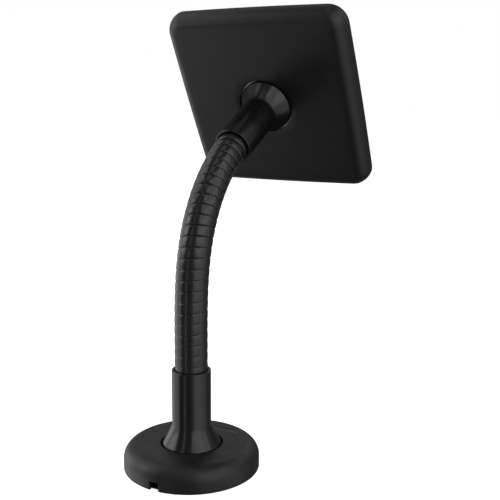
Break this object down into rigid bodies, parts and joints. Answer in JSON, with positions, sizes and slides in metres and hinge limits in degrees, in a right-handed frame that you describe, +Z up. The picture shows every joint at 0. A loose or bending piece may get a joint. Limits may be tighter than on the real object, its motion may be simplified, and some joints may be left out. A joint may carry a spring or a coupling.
{
  "type": "gooseneck display stand",
  "caption": "Counter stand for a display: low round weighted base with a lift-up cover, thick ribbed gooseneck in a flared sleeve at each end, and a flat square head tilted back.",
  "frame": {"origin": "on the base's axis, in the plane of the rubber pad's underside, which stands on the counter", "axes": "+Z up along the base's axis; the screen faces -Y, the cable notch is at +Y, and +X completes the right-handed frame, to the right of somebody who faces the screen"},
  "size_m": [0.1552, 0.2168, 0.3377],
  "materials": {
    "sleeve_paint": "satin",
    "neck_finish": "satin",
    "cover_paint": "matte",
    "shell": "matte",
    "badge": "gloss",
    "rubber": "matte",
    "steel": "satin",
    "alloy": "satin",
    "nylon": "matte",
    "board": "satin",
    "panel": "satin",
    "foam": "matte",
    "glass": "gloss"
  },
  "bodies": {
    "base": {"base_pad": "rubber", "base_plate": "steel", "lower_ferrule": "steel", "lower_jam_nut": "steel", "lower_centring_ring": "nylon", "lower_sleeve": "sleeve_paint", "neck_root": "neck_finish"},
    "cover": {"base_cover": "cover_paint", "base_badge": "badge"},
    "link_01": {"neck_link_01": "neck_finish"},
    "link_02": {"neck_link_02": "neck_finish"},
    "link_03": {"neck_link_03": "neck_finish"},
    "link_04": {"neck_link_04": "neck_finish"},
    "link_05": {"neck_link_05": "neck_finish"},
    "link_06": {"neck_link_06": "neck_finish"},
    "link_07": {"neck_link_07": "neck_finish"},
    "link_08": {"neck_link_08": "neck_finish"},
    "link_09": {"neck_link_09": "neck_finish"},
    "link_10": {"neck_link_10": "neck_finish"},
    "link_11": {"neck_link_11": "neck_finish"},
    "head": {"neck_tip": "neck_finish", "upper_centring_ring": "nylon", "upper_sleeve": "sleeve_paint", "upper_jam_nut": "steel", "upper_ferrule": "steel", "head_shell": "shell", "hub_plate": "alloy", "hub_nut": "steel", "hub_screw_1": "steel", "hub_screw_2": "steel", "hub_screw_3": "steel", "hub_screw_4": "steel", "controller_board": "board", "panel_frame": "alloy", "frame_screw_1": "steel", "frame_screw_2": "steel", "frame_screw_3": "steel", "frame_screw_4": "steel", "display_panel": "panel", "glass_gasket": "foam", "cover_glass": "glass", "front_bezel": "shell"}
  },
  "joints": [
    {"name": "base_cover_lift", "type": "slide", "parent": "base", "child": "cover", "axis": [0, 0, 1], "range_m": [0, 0.04]},
    {"name": "neck_bend_1", "type": "hinge", "parent": "base", "child": "link_01", "pos_m": [0, 0, 0.0759], "axis": [1, 0.0002, 0], "range_deg": [-14.5, 14.5]},
    {"name": "neck_sway_1", "type": "hinge", "parent": "link_01", "child": "link_02", "pos_m": [0, 0, 0.09188], "axis": [0, 1, 0.0024], "range_deg": [-13, 13]},
    {"name": "neck_bend_2", "type": "hinge", "parent": "link_02", "child": "link_03", "pos_m": [0, -0.00008, 0.10786], "axis": [1, 0.0002, 0], "range_deg": [-15.8, 13.2]},
    {"name": "neck_sway_2", "type": "hinge", "parent": "link_03", "child": "link_04", "pos_m": [0, -0.00052, 0.12384], "axis": [0, 0.9986, 0.0532], "range_deg": [-13, 13]},
    {"name": "neck_bend_3", "type": "hinge", "parent": "link_04", "child": "link_05", "pos_m": [0, -0.00178, 0.13977], "axis": [1, 0.0002, 0], "range_deg": [-19.3, 9.7]},
    {"name": "neck_sway_3", "type": "hinge", "parent": "link_05", "child": "link_06", "pos_m": [0, -0.00438, 0.15553], "axis": [0, 0.9757, 0.219], "range_deg": [-13, 13]},
    {"name": "neck_bend_4", "type": "hinge", "parent": "link_06", "child": "link_07", "pos_m": [0, -0.00876, 0.17089], "axis": [1, 0.0002, 0], "range_deg": [-22.2, 6.8]},
    {"name": "neck_sway_4", "type": "hinge", "parent": "link_07", "child": "link_08", "pos_m": [0, -0.01517, 0.18551], "axis": [0, 0.8853, 0.4651], "range_deg": [-13, 13]},
    {"name": "neck_bend_5", "type": "hinge", "parent": "link_08", "child": "link_09", "pos_m": [0, -0.02357, 0.19909], "axis": [1, 0.0002, 0], "range_deg": [-22.6, 6.4]},
    {"name": "neck_sway_5", "type": "hinge", "parent": "link_09", "child": "link_10", "pos_m": [0, -0.03381, 0.21134], "axis": [0, 0.72, 0.694], "range_deg": [-13, 13]},
    {"name": "neck_bend_6", "type": "hinge", "parent": "link_10", "child": "link_11", "pos_m": [0, -0.04568, 0.22203], "axis": [1, 0.0002, 0], "range_deg": [-22.6, 6.4]},
    {"name": "neck_sway_6", "type": "hinge", "parent": "link_11", "child": "head", "pos_m": [0, -0.05894, 0.23093], "axis": [0, 0.5201, 0.8541], "range_deg": [-13, 13]}
  ]
}
